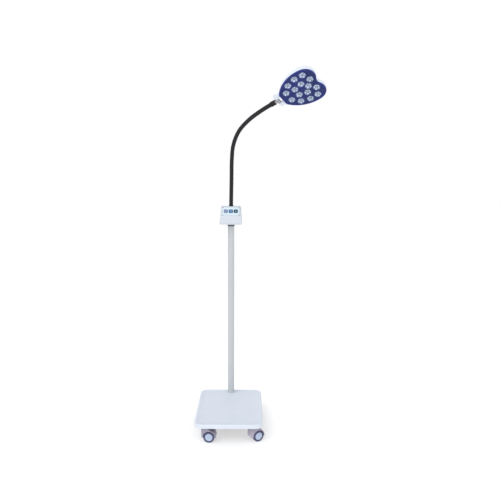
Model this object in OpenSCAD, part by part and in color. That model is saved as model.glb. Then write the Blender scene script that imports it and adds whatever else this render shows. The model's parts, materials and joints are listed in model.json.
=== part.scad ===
// Mobile LED examination lamp: castor base, pole, control box, gooseneck and heart-shaped lamp head.
// Millimetres, +Z up, -Y is the front. The origin is on the floor below the middle of the base plate.

/* [Base] */
// Width of the base plate, left to right
base_w = 300; // [270:5:340]
// Depth of the base plate, front to back
base_d = 380; // [350:5:420]
// Height of the base cover's skirt
base_h = 18; // [17:1:24]
// Plan radius of the base plate's corners
base_corner_r = 34; // [26:1:44]
// Rounding of the cover's top edge
base_edge_r = 5; // [3:0.5:7]
// Sheet thickness of the base cover
cover_wall = 2; // [1.5:0.5:2.5]
// Thickness of the steel ballast plate inside the cover
ballast_h = 12; // [8:1:12]

/* [Castors] */
// Wheel diameter
wheel_d = 50; // [46:1:54]
// Width of one wheel of a twin castor
wheel_w = 17; // [14:1:19]
// Height from the floor to the base cover's lower edge
castor_h = 76; // [74:1:84]
// Distance from the swivel axis to the wheel axis
castor_trail = 20; // [16:1:22]
// Swivel axis to the centre line, left and right
castor_x = 105; // [90:1:110]
// Swivel axis to the centre line, front and back
castor_y = 145; // [130:1:150]
// Heading of each castor at rest: front left, front right, rear right, rear left
castor_heading = [-5, 28, 150, 205]; // [-180:5:270]

/* [Pole] */
// Outer diameter of the pole
pole_d = 32; // [30:0.5:34]
// Wall thickness of the pole
pole_wall = 1.5; // [1:0.5:2.5]
// Distance from the pole's axis to the back edge of the base plate
pole_back = 30; // [26:1:60]
// Height of the control box's underside above the floor
box_z = 934; // [800:2:1000]

/* [Control box] */
// Width across the box's underside
box_w = 107; // [100:1:116]
// Width across the box's top
box_top_w = 93; // [92:1:100]
// Height of the box
box_h = 83; // [80:1:90]
// Height of the front wall below the sloped panel
box_front_h = 38; // [34:1:42]
// Distance from the pole's axis to the front wall
box_front = 58; // [54:1:62]
// Distance from the pole's axis to the back wall
box_back = 32; // [30:1:38]
// Distance from the pole's axis to the top edge of the sloped panel
box_ridge = 13; // [12:1:14]
// Wall thickness of the box
box_wall = 2.5; // [2:0.5:3]
// Travel of the three push buttons
button_travel = 1; // [0.6:0.1:1.2]

/* [Gooseneck] */
// Outer diameter of the gooseneck
neck_d = 18; // [17:0.5:20]
// Length of one neck segment between two ball joints
segment_l = 70; // [64:1:76]
// Lean of the neck where it leaves the box, in degrees
neck_lean = 1; // [0:0.5:5]
// Direction that the neck bends towards, in degrees from +X
bend_heading = -30; // [-90:0.5:90]
// Bend of each segment at rest, in degrees, from the box to the head
segment_bend = [0, 0, 0, 12, 26, 17, 6, 5]; // [0:1:30]
// Roll of the lamp head about the end of the neck at rest, in degrees
head_roll = -33; // [-90:1:90]

/* [Lamp head] */
// Length of the heart-shaped outline, from its blunt tip to its lobes
head_l = 186; // [180:1:192]
// Radius of the two round lobes
lobe_r = 50; // [48:1:52]
// Distance from the centre line to each lobe's centre
lobe_y = 42; // [40:1:44]
// Radius of the long curved sides
side_r = 150; // [148:1:156]
// Radius of the hollow between the lobes
notch_r = 30; // [20:1:40]
// Radius of the corners at the blunt tip
tip_r = 9; // [6:1:12]
// Distance from the tilt axis to the blunt tip
head_gap = 22; // [21:1:28]
// Diameter of one lens
lens_d = 30.5; // [26:0.5:31]
// Places of the lenses on one side of the centre line, as [distance from the tip, offset]
lens_pairs = [[33, 22.5], [61, 52], [101, 65], [139, 63], [154, 27], [74, 17.5], [110, 27]];
// Distance from the tip to the lens on the centre line
lens_middle = 130; // [128:1:132]

/* [Hidden] */
$fn = 64;

CORNERS = ["front_left", "front_right", "rear_right", "rear_left"];

// Small clearances
eps = 0.01;
running = 0.05;
part_gap = 0.3;

// Base stack, all heights above the floor
ballast_lift = 1;
ballast_z = castor_h + ballast_lift;
ballast_top = ballast_z + ballast_h;
cover_top = castor_h + base_h;
cover_under = cover_top - cover_wall;
ballast_gap = 3;
ballast_w = base_w - 2 * (cover_wall + ballast_gap);
ballast_d = base_d - 2 * (cover_wall + ballast_gap);
boss_r = 6;
cover_screw_r = 1.9;
cover_screw_x = base_w / 2 - 16;
cover_screw_y = [-base_d / 2 + 60, 0, base_d / 2 - 60];
pole_y = base_d / 2 - pole_back;
bolt_r = 5;
bolt_head_h = 6.4;
bolt_head_r = 17 / sqrt(3);
washer_r = 11;
washer_h = 1.6;
counterbore_r = 13;
plug_h = 30;

// Castor, around its own swivel axis with the wheels trailing towards +X
stem_r = 4;
stem_thread_r = 5;
stem_flange_h = 5;
stem_flange_r = 17 / sqrt(3);
stem_bottom = wheel_d - 4;
housing_top = castor_h - 6;
hood_r = wheel_d / 2 + 5;
pocket_r = wheel_d / 2 + 1.5;
web_w = 12;
wheel_gap = 0.5;
hood_w = web_w + 2 * wheel_w - 2;
skirt_z = 22;
boss_reach = 14;
axle_r = 3;
hub_r = wheel_d * 0.34;
hub_cap = 3;

// Pole and collar
pole_top = box_z + 50;
collar_h = 11;
collar_r = pole_d / 2 + 1.5;

// Control box, around the pole's axis with its underside at zero
panel_run = box_front - box_ridge;
panel_rise = box_h - box_front_h;
panel_slope = atan2(panel_rise, panel_run);
lid_w = 84;
lid_l = 54;
lid_t = 2.4;
lid_sink = 1.2;
lid_top = lid_t - lid_sink;
overlay_w = 76;
overlay_l = 46;
overlay_t = 0.5;
overlay_top = lid_top + overlay_t;
button_x = [-23, 0, 23];
button_w = 19;
button_l = 21;
button_corner = 5;
button_proud = 1.4;
button_flange = 1.4;
button_bottom = -5;
board_z = -12;
board_t = 1.6;
board_w = 64;
board_l = 37;
standoff_x = 28;
standoff_y = 15.5;
standoff_r = 2.6;
lid_screw_x = lid_w / 2 - 4;
lid_screw_y = lid_l / 2 - 4;
lid_screw_r = 1.5;
lid_screw_head_r = 2.8;
lid_screw_head_h = 1.4;
sleeve_h = 36;
sleeve_wall = 3;
switch_h = button_bottom - board_z - board_t - button_travel - part_gap;
socket_flange_h = 4;
socket_flange_r = 11;
socket_thread_r = 8;
gland_x = 30;
gland_z = 20;
gland_bore_r = 3.6;
gland_thread_r = 6;

// Gooseneck
neck_r = neck_d / 2;
neck_z = box_z + box_h + socket_flange_h;
end_straight = 12;
arc_l = segment_l - 2 * end_straight;
arc_over = 0.5;
arc_step = 0.3;
ball_r = 7.6;
socket_r = ball_r + part_gap;
cup_lip = 3;
shoulder = 7.5;
ball_neck_r = 4;
wire_r = 2.5;
ferrule_r = 11.5;
ferrule_end = 14;

// Yoke and tilt hinge, measured along the neck's axis from the end of the last segment
spigot_r = 5;
yoke_flange_z = ferrule_end + 0.5;
yoke_flange_h = 3;
yoke_flange_r = 10;
tilt_z = 28;
barrel_r = 8;
barrel_half = 13;
ear_in = barrel_half + 0.4;
ear_out = 33;
pin_r = 3;
arm_half = 6;

// Lamp head: X from the tilt axis towards the lobes, Z towards the back
face_z = -12;
face_t = 3;
shell_z = face_z + face_t;
head_mid = head_gap + 105;
half_w = lobe_y + lobe_r;
shell_wall = 3;
lobe_x = head_l - lobe_r;
side_d = side_r - lobe_r;
side_x = lobe_x - side_d * 0.14;
side_y = lobe_y - side_d * sqrt(1 - 0.14 * 0.14);
tip_y = side_y + sqrt(pow(side_r - tip_r, 2) - pow(side_x - tip_r, 2));
notch_x = lobe_x + sqrt(pow(lobe_r + notch_r, 2) - pow(lobe_y, 2));
lens_r = lens_d / 2;
lens_rim = 1.2;
lens_spots = concat(lens_pairs, [for (p = lens_pairs) [p[0], -p[1]]], [[lens_middle, 0]]);
post_spots = [[52, 0], [88, 41], [88, -41], [132, 41], [132, -41]];
post_r = 3.5;
board_front = 0.5;
led_board_t = 1.6;
sink_z = board_front + led_board_t + 0.1;
sink_t = 3;
screw_seat = 19;

// Points of an arc about a centre, from one angle to another
function arc(centre, r, from, to, steps) = [
    for (i = [0:steps])
        let (a = from + (to - from) * i / steps)
            centre + r * [cos(a), sin(a)]
];

function tail(points) = [for (i = [1:len(points) - 1]) points[i]];

function unit(v) = v / norm(v);

// Points of the round that replaces corner b between a and c
function corner_arc(a, b, c, r, steps = 5) =
    let (
        u = unit(a - b),
        v = unit(c - b),
        half = acos(u * v) / 2,
        middle = b + unit(u + v) * r / sin(half),
        p = b + u * r / tan(half) - middle,
        q = b + v * r / tan(half) - middle,
        turn = 180 - 2 * half
    )
    [
        for (i = [0:steps])
            middle + (sin(turn * (1 - i / steps)) * p + sin(turn * i / steps) * q) / sin(turn)
    ];

// A closed outline with each corner rounded by its own radius
function rounded(points, radii) =
    let (n = len(points))
    [
        for (i = [0:n - 1])
            each corner_arc(points[(i + n - 1) % n], points[i], points[(i + 1) % n], radii[i])
    ];

// One side of the heart, from the blunt tip over the side and the lobe to the hollow between the lobes
function angle_to(from, to) = atan2(to[1] - from[1], to[0] - from[0]);
side_start = angle_to([side_x, side_y], [tip_r, tip_y]);
side_end = angle_to([side_x, side_y], [lobe_x, lobe_y]);
notch_angle = angle_to([lobe_x, lobe_y], [notch_x, 0]);
heart_half = concat(
    arc([tip_r, tip_y], tip_r, 180, side_start, 3),
    tail(arc([side_x, side_y], side_r, side_start, side_end, 8)),
    tail(arc([lobe_x, lobe_y], lobe_r, side_end, notch_angle, 16)),
    tail(arc([notch_x, 0], notch_r, notch_angle + 180, 180, 3))
);
heart_points = [for (p = heart_half) [p[0] + head_gap, p[1]]];
heart = concat(
    heart_points,
    [for (i = [len(heart_points) - 2:-1:0]) [heart_points[i][0], -heart_points[i][1]]]
);

function heart_scaled(k) = [for (p = heart) [head_mid + (p[0] - head_mid) * k, p[1] * k]];

// Scale and height of each ring of the domed back shell, up to its flat crown
dome = [[1, shell_z], [1, 5], [0.975, 11], [0.92, 16], [0.82, 21], [0.66, 24.3], [0.4, 25.5]];

// A closed cup through a loop of rings: up the outside to ring number "crown", then down the inside
module ring_cup(rings, crown) {
    n = len(rings[0]);
    m = len(rings);
    points = [for (ring = rings) each ring];
    walls = [
        for (j = [0:m - 1], i = [0:n - 1])
            let (a = j * n, b = (j + 1) % m * n, next = (i + 1) % n)
                if (j != crown) each [[a + i, a + next, b + i], [b + i, a + next, b + next]]
    ];
    caps = [[for (i = [0:n - 1]) crown * n + i], [for (i = [n - 1:-1:0]) (crown + 1) * n + i]];
    polyhedron(points, concat(walls, caps));
}

// One ring of the dome, moved in by a wall thickness, at height z
function dome_ring(k, z, wall = 0) = [for (p = heart_scaled(k - wall / half_w)) [p[0], p[1], z]];

module rounded_rect(w, l, r) {
    polygon(rounded([[-w / 2, -l / 2], [w / 2, -l / 2], [w / 2, l / 2], [-w / 2, l / 2]], [r, r, r, r]));
}

// A slab with round plan corners and a round top edge
module soft_slab(w, d, h, corner_r, edge_r) {
    hull()
    for (x = [-1, 1], y = [-1, 1])
        translate([x * (w / 2 - corner_r), y * (d / 2 - corner_r), 0])
        rotate_extrude($fn = 48)
        intersection() {
            union() {
                square([corner_r, h - edge_r]);
                square([corner_r - edge_r, h]);
                translate([corner_r - edge_r, h - edge_r]) circle(edge_r, $fn = 32);
            }
            square([corner_r, h]);
        }
}

module hex(r, h) {
    cylinder(h, r = r, $fn = 6);
}

module on_pole(z = 0) {
    translate([0, pole_y, z]) children();
}

module cover_screw_spots() {
    for (x = [-cover_screw_x, cover_screw_x], y = cover_screw_y)
        translate([x, y, 0]) children();
}

module base_cover() {
    color("#d3dbe6")
    difference() {
        union() {
            difference() {
                translate([0, 0, castor_h]) soft_slab(base_w, base_d, base_h, base_corner_r, base_edge_r);
                translate([0, 0, castor_h - 1])
                soft_slab(
                    base_w - 2 * cover_wall, base_d - 2 * cover_wall, base_h - cover_wall + 1,
                    base_corner_r - cover_wall, base_edge_r - cover_wall
                );
            }
            cover_screw_spots()
            translate([0, 0, ballast_top]) cylinder(cover_under - ballast_top + eps, r = boss_r);
        }
        cover_screw_spots()
        translate([0, 0, ballast_top - eps])
        cylinder(cover_under - ballast_top, r = cover_screw_r + running);
        on_pole(cover_under - 1) cylinder(cover_wall + 2, d = pole_d + 2 * part_gap);
    }
}

module ballast_plate() {
    plate = rounded(
        [for (s = [[-1, -1], [1, -1], [1, 1], [-1, 1]]) [s[0] * ballast_w / 2, s[1] * ballast_d / 2]],
        [for (i = [0:3]) base_corner_r - cover_wall - ballast_gap]
    );
    color("#4a4d50")
    difference() {
        translate([0, 0, ballast_z]) linear_extrude(ballast_h) polygon(plate);
        castor_spots()
        translate([0, 0, ballast_z - 1]) cylinder(ballast_h + 2, r = stem_thread_r + running);
        cover_screw_spots()
        translate([0, 0, ballast_z]) {
            translate([0, 0, -1]) cylinder(ballast_h + 2, r = cover_screw_r + 0.3);
            translate([0, 0, -eps]) cylinder(2.2, r1 = 4.3, r2 = cover_screw_r + 0.3);
        }
        on_pole(ballast_z) {
            translate([0, 0, -1]) cylinder(ballast_h + 2, r = bolt_r + 0.25);
            translate([0, 0, -1]) cylinder(bolt_head_h + washer_h + 1, r = counterbore_r);
        }
    }
}

module base_screws() {
    color("#8d9092")
    cover_screw_spots()
    translate([0, 0, ballast_z + 0.1]) {
        cylinder(2, r1 = 4, r2 = cover_screw_r);
        cylinder(cover_under - ballast_z - 0.4, r = cover_screw_r);
    }
}

module pole_plug() {
    color("#8d9092")
    on_pole(ballast_top)
    difference() {
        cylinder(plug_h, r = pole_d / 2 - pole_wall - running);
        translate([0, 0, -1]) cylinder(plug_h + 2, r = bolt_r + running);
    }
}

module pole_bolt() {
    color("#9a9da0")
    on_pole(ballast_z) {
        hex(bolt_head_r, bolt_head_h);
        cylinder(ballast_h + plug_h - 4, r = bolt_r);
        translate([0, 0, bolt_head_h]) cylinder(washer_h, r = washer_r);
    }
}

module pole_tube() {
    color("#cfd3d6")
    on_pole(ballast_top)
    difference() {
        cylinder(pole_top - ballast_top, d = pole_d);
        translate([0, 0, -1]) cylinder(pole_top - ballast_top + 2, r = pole_d / 2 - pole_wall);
    }
}

module pole_collar() {
    color("#5f686a")
    on_pole(box_z - collar_h)
    difference() {
        cylinder(collar_h, r = collar_r);
        translate([0, 0, -1]) cylinder(collar_h + 2, r = pole_d / 2 + running);
    }
}

// Place children at each castor's swivel axis
module castor_spots() {
    for (c = [0:3]) at_castor(c) children();
}

module at_castor(c) {
    x = [-castor_x, castor_x, castor_x, -castor_x][c];
    y = [-castor_y, -castor_y, castor_y, castor_y][c];
    translate([x, y, 0]) rotate(castor_heading[c]) children();
}

module at_axle(c) {
    at_castor(c) translate([castor_trail, 0, wheel_d / 2]) children();
}

// One wheel's place: side -1 or 1, with +Z pointing out along the axle
module at_wheel(c, side) {
    at_axle(c)
    rotate([-90 * side, 0, 0])
    translate([0, 0, web_w / 2 + wheel_gap]) children();
}

module castor_stem(c) {
    color("#b9bdc0")
    at_castor(c) {
        translate([0, 0, ballast_z - eps]) cylinder(ballast_h - 1, r = stem_thread_r);
        translate([0, 0, ballast_z - stem_flange_h]) hex(stem_flange_r, stem_flange_h);
        translate([0, 0, housing_top + 0.5]) cylinder(2, r = 7);
        translate([0, 0, stem_bottom + 0.5]) cylinder(ballast_z - stem_bottom - 1, r = stem_r);
    }
}

module castor_housing(c) {
    shoulder_x = -boss_reach;
    side_view = concat(
        [[hood_r + castor_trail - 0.3, skirt_z], [shoulder_x, skirt_z]],
        corner_arc([shoulder_x, skirt_z], [shoulder_x, housing_top], [boss_reach, housing_top], 3),
        [[boss_reach, housing_top]],
        arc([castor_trail, wheel_d / 2], hood_r, 75, -5, 14)
    );
    color("#a9a6b8")
    at_castor(c)
    difference() {
        translate([0, hood_w / 2, 0]) rotate([90, 0, 0]) linear_extrude(hood_w) polygon(side_view);
        for (side = [-1, 1])
            translate([castor_trail, side * web_w / 2, wheel_d / 2])
            rotate([-90 * side, 0, 0]) cylinder(wheel_w + 5, r = pocket_r);
        translate([castor_trail, hood_w, wheel_d / 2])
        rotate([90, 0, 0]) cylinder(2 * hood_w, r = axle_r + running / 2);
        translate([0, 0, stem_bottom]) cylinder(wheel_d, r = stem_r + running);
    }
}

module castor_axle(c) {
    half = web_w / 2 + wheel_gap + wheel_w - hub_cap - 0.5;
    color("#b9bdc0")
    at_axle(c) translate([0, half, 0]) rotate([90, 0, 0]) cylinder(2 * half, r = axle_r);
}

module castor_tyre(c, side) {
    color("#4c5272")
    at_wheel(c, side)
    rotate_extrude()
    translate([(hub_r + wheel_d / 2) / 2, wheel_w / 2]) rounded_rect(wheel_d / 2 - hub_r, wheel_w, 2.5);
}

module castor_hub(c, side) {
    color("#c8d2f0")
    at_wheel(c, side)
    difference() {
        rotate_extrude()
        polygon(concat(
            [[0, 0], [hub_r, 0], [hub_r, wheel_w - 3]],
            arc([0, wheel_w - 60], 60, 90 - asin((hub_r - 1.5) / 60), 90, 6)
        ));
        translate([0, 0, -1]) cylinder(wheel_w - hub_cap + 1, r = axle_r + running);
        translate([0, 0, -1])
        difference() {
            cylinder(6, r = hub_r - 3);
            cylinder(6, r = axle_r + 3);
        }
    }
}

// Side outline of the box, shrunk by a wall thickness: X to the back, Y up
function box_side(wall) =
    let (
        front_y = box_front_h - wall * (1 - sin(panel_slope)) / cos(panel_slope),
        ridge_x = -box_ridge + wall * (1 - cos(panel_slope)) / sin(panel_slope),
        r = wall > 0 ? 1.5 : 4
    )
    rounded(
        [
            [-box_front + wall, wall], [box_back - wall, wall], [box_back - wall, box_h - wall],
            [ridge_x, box_h - wall], [-box_front + wall, front_y]
        ],
        [r, r, r, r, r]
    );

// Front outline of the box, shrunk by a wall thickness
function box_outline(wall) =
    let (
        low = box_w / 2 - wall,
        high = box_top_w / 2 - wall,
        r = wall > 0 ? 3 : 6
    )
    rounded([[-low, wall], [low, wall], [high, box_h - wall], [-high, box_h - wall]], [r, r, r, r]);

module box_solid(wall) {
    intersection() {
        translate([-box_w, 0, 0])
        rotate([90, 0, 90]) linear_extrude(2 * box_w) polygon(box_side(wall));
        translate([0, box_w, 0])
        rotate([90, 0, 0]) linear_extrude(2 * box_w) polygon(box_outline(wall));
    }
}

module on_panel() {
    on_pole(box_z)
    translate([0, -(box_front + box_ridge) / 2, (box_front_h + box_h) / 2])
    rotate([panel_slope, 0, 0]) children();
}

module lid_corners(x, y) {
    for (i = [-1, 1], j = [-1, 1]) translate([i * x, j * y, 0]) children();
}

module lid_screw_spots() {
    lid_corners(lid_screw_x, lid_screw_y) children();
}

module box_body() {
    color("#e6eaf0")
    difference() {
        union() {
            on_pole(box_z) {
                difference() {
                    box_solid(0);
                    box_solid(box_wall);
                }
                cylinder(sleeve_h, r = pole_d / 2 + sleeve_wall);
            }
            intersection() {
                on_panel() lid_screw_spots() translate([0, 0, -9]) cylinder(8, r = 3.4);
                on_pole(box_z) box_solid(0.5);
            }
        }
        on_pole(box_z - 1) cylinder(pole_top - box_z + 10, r = pole_d / 2 + running);
        on_pole(box_z + box_h - box_wall - 1) cylinder(box_wall + 2, r = socket_thread_r + running);
        on_panel() {
            translate([0, 0, -lid_sink]) linear_extrude(5) rounded_rect(lid_w + 0.4, lid_l + 0.4, 5);
            translate([0, 0, -4]) linear_extrude(5) rounded_rect(lid_w - 16, lid_l - 16, 3);
            lid_screw_spots() translate([0, 0, -9]) cylinder(10, r = lid_screw_r + running);
        }
        at_gland() translate([0, 0, -5]) cylinder(10, r = gland_thread_r + running);
    }
}

module button_holes() {
    for (x = button_x)
        translate([x, 0])
        rounded_rect(button_w + 2 * part_gap, button_l + 2 * part_gap, button_corner + part_gap);
}

module box_lid() {
    color("#eaf3fb")
    on_panel()
    difference() {
        union() {
            translate([0, 0, -lid_sink]) linear_extrude(lid_t) rounded_rect(lid_w, lid_l, 5);
            lid_corners(standoff_x, standoff_y)
            translate([0, 0, board_z + board_t]) cylinder(-board_z - board_t, r = standoff_r);
        }
        translate([0, 0, -lid_sink - 1]) linear_extrude(lid_t + 2) button_holes();
        lid_screw_spots() {
            translate([0, 0, -5]) cylinder(10, r = lid_screw_r + 0.2);
            translate([0, 0, lid_top - lid_screw_head_h]) cylinder(3, r = lid_screw_head_r + 0.2);
        }
    }
}

module panel_overlay() {
    color("#dff1fb")
    on_panel()
    translate([0, 0, lid_top])
    difference() {
        linear_extrude(overlay_t) rounded_rect(overlay_w, overlay_l, 4);
        translate([0, 0, -1]) linear_extrude(3) button_holes();
        lid_screw_spots() translate([0, 0, -1]) cylinder(3, r = lid_screw_head_r + 0.4);
    }
}

module lid_screws() {
    color("#c9ccd0")
    on_panel()
    lid_screw_spots() {
        translate([0, 0, lid_top - lid_screw_head_h]) cylinder(lid_screw_head_h, r = lid_screw_head_r);
        translate([0, 0, -8]) cylinder(8 + lid_top - 1, r = lid_screw_r);
    }
}

module push_button(i) {
    on_panel()
    translate([button_x[i], 0, 0]) {
        translate([0, 0, button_bottom])
        linear_extrude(overlay_top + button_proud - button_bottom)
        rounded_rect(button_w, button_l, button_corner);
        translate([0, 0, -lid_sink - part_gap - 1])
        linear_extrude(1)
        rounded_rect(
            button_w + 2 * button_flange, button_l + 2 * button_flange, button_corner + button_flange
        );
    }
}

module power_button() {
    color("#35678f") push_button(1);
}

module plus_button() {
    color("#3d6274") push_button(2);
}

module minus_button() {
    color("#8f99b4") push_button(0);
}

module control_board() {
    color("#2f6b3c")
    on_panel()
    translate([0, 0, board_z]) {
        linear_extrude(board_t) rounded_rect(board_w, board_l, 2);
        for (x = button_x) translate([x - 3, -3, 1]) cube([6, 6, board_t + switch_h - 1]);
        translate([-24, -16, -5]) cube([16, 11, 5.5]);
        translate([8, -16, -4]) cube([14, 9, 4.5]);
    }
}

// The gland stands in the back wall with +Z pointing out
module at_gland() {
    on_pole(box_z) translate([gland_x, box_back, gland_z]) rotate([-90, 0, 0]) children();
}

module cable_gland() {
    color("#2b2d30")
    at_gland()
    difference() {
        union() {
            translate([0, 0, -box_wall - 4]) cylinder(box_wall + 5, r = gland_thread_r);
            translate([0, 0, -box_wall - 3.5]) hex(9, 3.5);
            hex(9, 5);
            translate([0, 0, 5 - eps]) cylinder(5, r = 7);
            translate([0, 0, 10 - eps]) cylinder(3, r1 = 7, r2 = 5);
        }
        translate([0, 0, -20]) cylinder(40, r = gland_bore_r);
    }
}

// Gooseneck frames: +Z runs along the neck and +X points to the inside of its bend
module at_neck_base() {
    on_pole(neck_z) rotate([0, 0, bend_heading]) rotate([0, neck_lean, 0]) children();
}

module arc_end(bend) {
    r = bend > 0 ? arc_l / (bend * PI / 180) : 0;
    shift = bend > 0 ? [r * (1 - cos(bend)), 0, r * sin(bend)] : [0, 0, arc_l];
    translate(shift) rotate([0, bend, 0]) children();
}

module at_segment_end(bend) {
    translate([0, 0, end_straight]) arc_end(bend) translate([0, 0, end_straight]) children();
}

module at_joint(n, i = 0) {
    if (i == n) children();
    else at_segment_end(segment_bend[i]) at_joint(n, i + 1) children();
}

// A hollow round bar along a segment's arc, let into the straight parts at both ends
module arc_tube(bend) {
    if (bend > 0) {
        turn_r = arc_l / (bend * PI / 180);
        over = arc_over / turn_r * 180 / PI;
        translate([turn_r, 0, 0])
        rotate([90, 0, 0])
        rotate_extrude(angle = bend + 2 * over, start = 180 - bend - over)
        translate([turn_r, 0]) tube_section();
    } else
        translate([0, 0, -arc_over]) linear_extrude(arc_l + 2 * arc_over) tube_section();
}

module tube_section() {
    difference() {
        circle(neck_r - arc_step);
        circle(wire_r + arc_step);
    }
}

// A turned piece with the wire bore through it: children give its outline
module turned() {
    rotate_extrude()
    difference() {
        children();
        translate([-50, -50]) square([50 + wire_r, 200]);
    }
}

// The cup that sits over the ball of the segment below
module segment_cup() {
    turned()
    difference() {
        translate([0, -cup_lip]) square([neck_r, cup_lip + end_straight]);
        circle(socket_r);
    }
}

// The end of a segment: a shoulder, a thin neck and the ball
module segment_ball() {
    turned()
    union() {
        square([neck_r, end_straight - shoulder]);
        square([ball_neck_r, end_straight]);
        translate([0, end_straight]) circle(ball_r);
    }
}

// The end of the last segment: a ferrule with a bore for the yoke's spigot
module segment_ferrule() {
    bore_z = end_straight - 4;
    turned()
    difference() {
        square([ferrule_r, end_straight + ferrule_end]);
        translate([0, bore_z]) square([spigot_r + running, 50]);
    }
}

// The fixed foot of the gooseneck: a threaded nipple with its nut, and the first ball
module neck_socket() {
    depth = box_wall + 9;
    nut_z = -box_wall - 5;
    color("#26242c") {
        on_pole(neck_z - socket_flange_h)
        difference() {
            union() {
                cylinder(socket_flange_h, r = socket_flange_r);
                translate([0, 0, -depth]) cylinder(depth + 1, r = socket_thread_r);
                translate([0, 0, nut_z]) hex(13, 5);
            }
            translate([0, 0, -depth - 1]) cylinder(depth + 10, r = wire_r + 1);
        }
        at_neck_base() {
            turned() translate([0, -2]) square([neck_r, end_straight + 2]);
            translate([0, 0, end_straight]) arc_tube(segment_bend[0]);
            translate([0, 0, end_straight]) arc_end(segment_bend[0]) segment_ball();
        }
    }
}

module neck_link(i) {
    bend = segment_bend[i];
    color("#26242c")
    at_neck_base()
    at_joint(i) {
        segment_cup();
        translate([0, 0, end_straight]) {
            arc_tube(bend);
            if (i < 7) arc_end(bend) segment_ball();
            if (i == 7) arc_end(bend) segment_ferrule();
        }
    }
}

// Frame of the swivel yoke: +Z along the neck's end, +Y along the tilt axis
module at_yoke() {
    at_neck_base() at_joint(8) rotate([0, 0, head_roll]) children();
}

// Frame of the lamp head: +X away from the neck, +Y along the tilt axis, +Z to the back
module at_head() {
    at_yoke() translate([0, 0, tilt_z]) rotate([0, -90, 0]) children();
}

module swivel_yoke() {
    color("#a8abad")
    at_yoke()
    difference() {
        union() {
            translate([0, 0, -3.5]) cylinder(yoke_flange_z + 4, r = spigot_r);
            translate([0, 0, yoke_flange_z]) cylinder(yoke_flange_h, r = yoke_flange_r);
            translate([0, 0, yoke_flange_z]) cylinder(tilt_z - yoke_flange_z - 4, r = 7);
            translate([0, barrel_half, tilt_z]) rotate([90, 0, 0]) cylinder(2 * barrel_half, r = barrel_r);
        }
        translate([0, 50, tilt_z]) rotate([90, 0, 0]) cylinder(100, r = pin_r + running);
        translate([0, 0, -10]) cylinder(tilt_z, r = wire_r);
    }
}

module hinge_pin() {
    color("#c4c8ca")
    at_head() {
        translate([0, ear_out, 0]) rotate([90, 0, 0]) cylinder(2 * ear_out, r = pin_r);
        for (s = [-1, 1]) translate([0, s * ear_out, 0]) rotate([-90 * s, 0, 0]) cylinder(1.6, r = 5);
    }
}

module head_shell() {
    rings = len(dome);
    crown = dome[rings - 1];
    boss_top = crown[1] - shell_wall + 1;
    boss_z = sink_z + sink_t + 0.3;
    color("#eef2f6")
    at_head()
    difference() {
        union() {
            ring_cup(
                concat(
                    [for (d = dome) dome_ring(d[0], d[1])],
                    [for (i = [rings - 1:-1:1]) dome_ring(dome[i][0], dome[i][1] - shell_wall, shell_wall)],
                    [dome_ring(1, shell_z, shell_wall)]
                ),
                rings - 1
            );
            heart_spots(post_spots)
            translate([0, 0, boss_z]) cylinder(boss_top - boss_z, r = post_r + 1.5);
            for (s = [-1, 1]) {
                translate([0, s * ear_in, 0])
                rotate([-90 * s, 0, 0]) cylinder(ear_out - ear_in, r = barrel_r);
                translate([0, s > 0 ? ear_in : -ear_out, -arm_half])
                cube([head_gap + 2, ear_out - ear_in, 2 * arm_half]);
            }
        }
        translate([0, 50, 0]) rotate([90, 0, 0]) cylinder(100, r = pin_r + running / 2);
        heart_spots(post_spots) {
            translate([0, 0, boss_z - 1]) cylinder(screw_seat - boss_z + 2, r = 1.7);
            translate([0, 0, screw_seat - 0.05]) cylinder(20, r = 3.2);
        }
    }
}

// Place children at points of the heart, measured from its tip
module heart_spots(spots) {
    for (p = spots) translate([head_gap + p[0], p[1], 0]) children();
}

module led_face() {
    color("#2e3178")
    at_head()
    difference() {
        union() {
            translate([0, 0, face_z]) linear_extrude(face_t) polygon(heart);
            heart_spots(post_spots)
            translate([0, 0, shell_z - eps]) cylinder(board_front - shell_z, r = post_r);
        }
        heart_spots(lens_spots) translate([0, 0, face_z - 1]) cylinder(face_t + 2, r = lens_r + 0.2);
        heart_spots(post_spots) translate([0, 0, shell_z - 1]) cylinder(20, r = 1.5 + running);
    }
}

// One collimator lens: a low dome in front, a rim behind the face and a cone down to its light source
module lens() {
    dome_r = 70;
    rise = dome_r - sqrt(pow(dome_r, 2) - pow(lens_r, 2));
    front = face_z - 0.6;
    difference() {
        rotate_extrude()
        polygon(concat(
            [[0, 0], [4.5, 0], [lens_r - 1, shell_z + lens_rim], [lens_r + 1.2, shell_z + lens_rim]],
            [[lens_r + 1.2, shell_z + 0.05], [lens_r, shell_z + 0.05], [lens_r, front]],
            arc([0, front - rise + dome_r], dome_r, -90 + asin(lens_r / dome_r), -90, 6)
        ));
        translate([0, 0, -3]) cylinder(4, r = 3.3);
    }
}

module led_lenses() {
    color("#c4cdeb")
    at_head() heart_spots(lens_spots) lens();
}

module led_board() {
    color("#e9ebe6")
    at_head()
    difference() {
        union() {
            translate([0, 0, board_front]) linear_extrude(led_board_t) polygon(heart_scaled(0.92));
            heart_spots(lens_spots) translate([0, 0, board_front - 2.5]) cylinder(3, r = 2.5);
        }
        heart_spots(post_spots) translate([0, 0, -1]) cylinder(10, r = 1.7);
    }
}

module heat_sink() {
    fin_x = head_gap + 66;
    fin_l = 76;
    color("#b4b8ba")
    at_head()
    difference() {
        union() {
            translate([0, 0, sink_z]) linear_extrude(sink_t) polygon(heart_scaled(0.9));
            for (y = [-30:7.5:30]) translate([fin_x, y - 0.8, sink_z]) cube([fin_l, 1.6, 14]);
        }
        heart_spots(post_spots) translate([0, 0, -1]) cylinder(20, r = 1.7);
    }
}

module head_screws() {
    color("#c9ccd0")
    at_head()
    heart_spots(post_spots) {
        translate([0, 0, shell_z + 3]) cylinder(screw_seat - shell_z - 3, r = 1.5);
        translate([0, 0, screw_seat - eps]) cylinder(2, r = 2.8);
    }
}

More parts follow.
